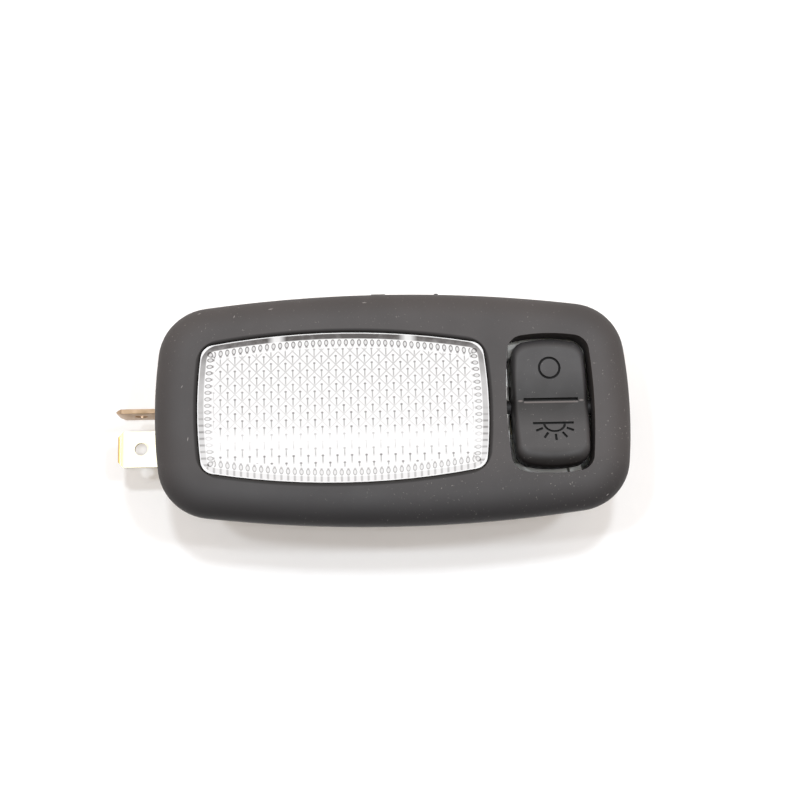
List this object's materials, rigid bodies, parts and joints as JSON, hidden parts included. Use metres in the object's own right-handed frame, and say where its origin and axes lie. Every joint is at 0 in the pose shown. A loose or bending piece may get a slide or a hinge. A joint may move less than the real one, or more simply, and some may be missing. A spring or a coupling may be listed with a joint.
{
  "type": "car interior light",
  "caption": "Roof-mounted car interior light with a black bezel, clear patterned lens, rocker switch and two push-on blades.",
  "frame": {"origin": "middle of the flat back rim of the bezel, the face that seats on the roof lining", "axes": "+X towards the rocker end, +Y across the lamp towards the plain-ring side of the rocker, +Z out of the lens"},
  "size_m": [0.0877, 0.0398, 0.0216],
  "materials": {
    "bezel_plastic": "matte black moulded plastic, finely textured, dusty",
    "rocker_plastic": "semi-matte black moulded plastic",
    "clear_plastic": "clear moulded plastic with a smooth face and a patterned inner side",
    "housing_plastic": "white moulded plastic, semi-matte",
    "nylon": "natural nylon",
    "brass": "pale stamped brass, slightly tarnished",
    "contact_silver": "silvered contact face",
    "bright_aluminium": "bright rolled sheet",
    "spring_steel": "blued spring steel",
    "spring_wire": "bright drawn wire",
    "cap_metal": "nickel-plated cap",
    "solder": "dull solder",
    "clear_glass": "thin clear glass",
    "tungsten": "dark drawn wire"
  },
  "bodies": {
    "housing": {"front_bezel": "bezel_plastic", "lens": "clear_plastic", "rear_housing": "housing_plastic", "reflector": "bright_aluminium", "supply_contact": "brass", "return_contact": "brass", "bulb_switch_contact": "brass", "strip_rivets": "brass", "fixed_contact_stud": "contact_silver", "bulb_glass": "clear_glass", "bulb_cap_left": "cap_metal", "bulb_cap_right": "cap_metal", "bulb_filament": "tungsten", "bulb_lead_wires": "cap_metal", "bulb_solder_tips": "solder"},
    "rocker": {"rocker": "rocker_plastic", "plunger_spring": "spring_wire"},
    "plunger": {"rocker_plunger": "nylon"},
    "see_saw": {"contact_rocker": "brass", "moving_contact_stud": "contact_silver"},
    "leaf": {"retaining_spring": "spring_steel"}
  },
  "joints": [
    {"name": "rocker_tilt", "type": "hinge", "parent": "housing", "child": "rocker", "pos_m": [0.02625, 0, -0.0008], "axis": [1, 0, 0], "range_deg": [0, 12]},
    {"name": "plunger_slide", "type": "slide", "parent": "rocker", "child": "plunger", "axis": [0, 0.1045, 0.9945], "range_m": [0, 0.0008], "stiffness_N_per_m": 400, "deforming": ["plunger_spring"]},
    {"name": "see_saw_tilt", "type": "hinge", "parent": "housing", "child": "see_saw", "pos_m": [0.02625, 0, -0.01], "axis": [1, 0, 0], "range_deg": [-12, 0]},
    {"name": "leaf_flex", "type": "hinge", "parent": "housing", "child": "leaf", "pos_m": [0.0363, 0, -0.0125], "axis": [0, -1, 0], "range_deg": [0, 7], "stiffness_Nm_per_rad": 1.2}
  ],
  "couplings": [
    {"joint": "see_saw_tilt", "follows": "rocker_tilt", "ratio": -1}
  ]
}
